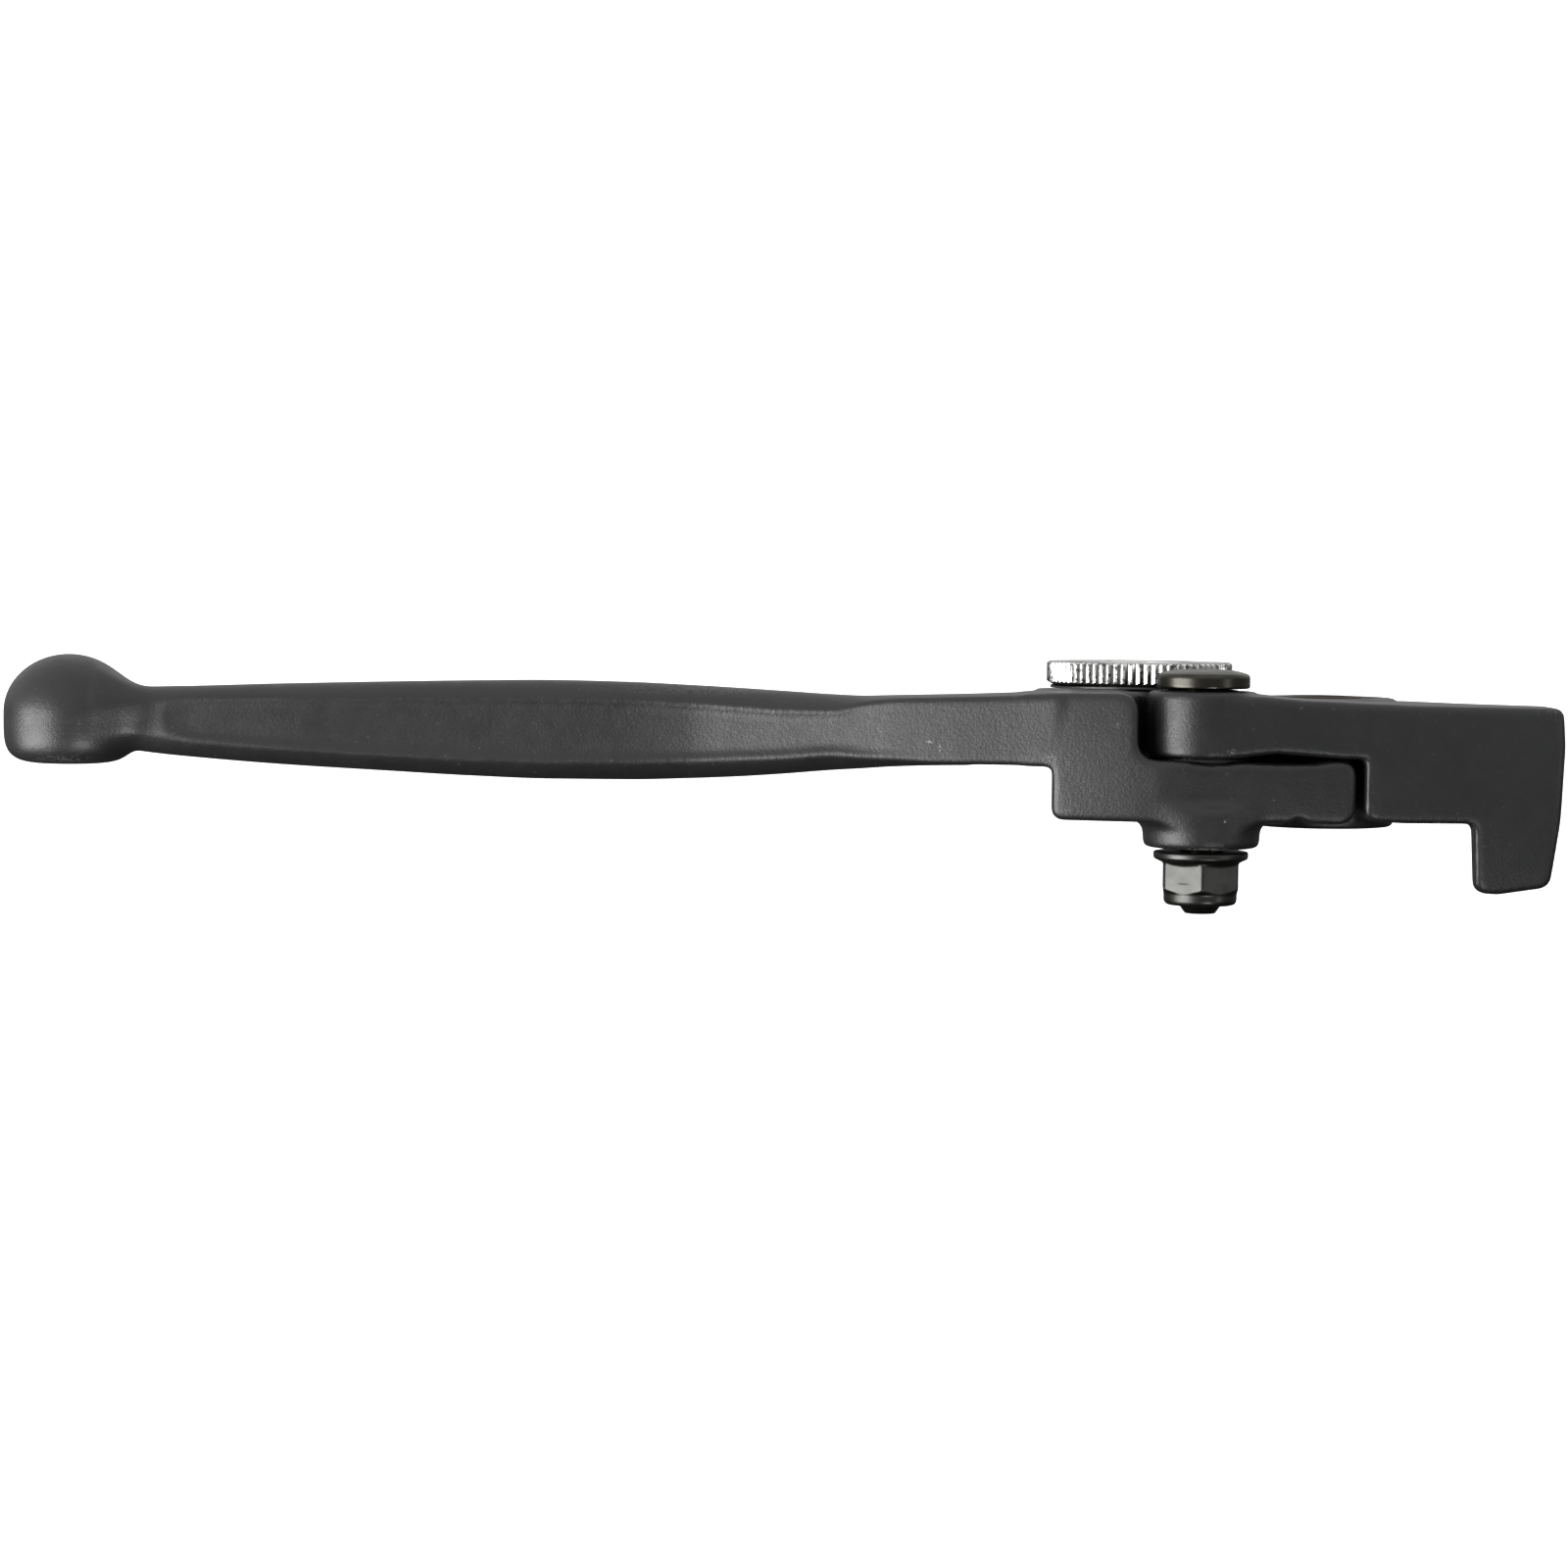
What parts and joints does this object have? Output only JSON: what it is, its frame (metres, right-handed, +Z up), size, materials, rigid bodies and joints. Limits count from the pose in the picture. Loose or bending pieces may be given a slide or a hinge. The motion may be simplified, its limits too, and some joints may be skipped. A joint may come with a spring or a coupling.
{
  "type": "clutch lever",
  "caption": "Adjustable motorcycle clutch lever: ball-end finger blade hinged on a pivoting holder, with a knurled reach dial, cam, return spring and push rod barrel.",
  "frame": {"origin": "on the main pivot axis at mid height of the pivot boss, where the perch's bolt holds the lever", "axes": "+Z up along the main pivot axis towards the reach dial's side, +X inboard along the handlebar, +Y towards the rider's grip; the ball end lies at -X"},
  "size_m": [0.2106, 0.0536, 0.0331],
  "materials": {
    "coat_blade": "matte black powder coat on forged aluminium",
    "coat_holder": "matte black powder coat on forged aluminium",
    "bronze": "sintered bronze, dark with oil",
    "seal_rubber": "matte black rubber",
    "black_oxide": "black oxide steel with a slight olive tone",
    "sleeve_steel": "phosphated steel",
    "washer_steel": "black oxide steel",
    "nut_steel": "dark plated steel",
    "nylon": "dark nylon",
    "friction_nylon": "black nylon",
    "chrome": "bright chrome, straight knurl",
    "wave_steel": "bright spring steel",
    "shaft_steel": "zinc plated steel",
    "cam_steel": "hardened steel",
    "screw_steel": "stainless steel",
    "pin_steel": "ground hardened steel",
    "spring_steel": "drawn spring wire",
    "cap_steel": "pressed steel",
    "brass": "turned brass"
  },
  "bodies": {
    "pivot_bush": {"main_pivot_bush": "bronze"},
    "holder": {"lever_holder": "coat_holder", "pivot_seal_upper": "seal_rubber", "pivot_seal_lower": "seal_rubber", "anvil_pin": "pin_steel", "spring_cap": "cap_steel"},
    "hinge": {"hinge_bolt": "black_oxide", "hinge_sleeve": "sleeve_steel", "hinge_thrust_washer": "washer_steel", "hinge_nut": "nut_steel", "nut_insert": "nylon", "return_spring": "spring_steel"},
    "blade": {"lever_blade": "coat_blade", "dial_wave_washer": "wave_steel", "dial_friction_washer": "friction_nylon"},
    "dial": {"adjuster_dial": "chrome", "adjuster_shaft": "shaft_steel", "adjuster_cam": "cam_steel", "dial_screw": "screw_steel"},
    "rod_barrel": {"push_rod_barrel": "brass"}
  },
  "joints": [
    {"name": "lever_stroke", "type": "hinge", "parent": "pivot_bush", "child": "holder", "pos_m": [0, 0, 0], "axis": [0, 0, -1], "range_deg": [0, 22]},
    {"name": "blade_reach", "type": "hinge", "parent": "holder", "child": "hinge", "pos_m": [-0.0179, -0.017, 0], "axis": [0, 0, 1], "range_deg": [-8, 0]},
    {"name": "blade_breakaway", "type": "hinge", "parent": "hinge", "child": "blade", "pos_m": [-0.0179, -0.017, 0], "axis": [0, 0, 1], "range_deg": [0, 8], "stiffness_Nm_per_rad": 0.5, "springref_deg": -11.46, "deforming": ["return_spring"]},
    {"name": "dial_turn", "type": "hinge", "parent": "blade", "child": "dial", "pos_m": [-0.02475, 0.002, 0], "axis": [0, 0, 1], "range_deg": [0, 288]},
    {"name": "rod_barrel_swivel", "type": "hinge", "parent": "holder", "child": "rod_barrel", "pos_m": [0.0025, 0.0215, 0], "axis": [0, 0, 1], "range_deg": [-3, 24]}
  ],
  "couplings": [
    {"joint": "dial_turn", "follows": "blade_reach", "ratio": -36}
  ]
}
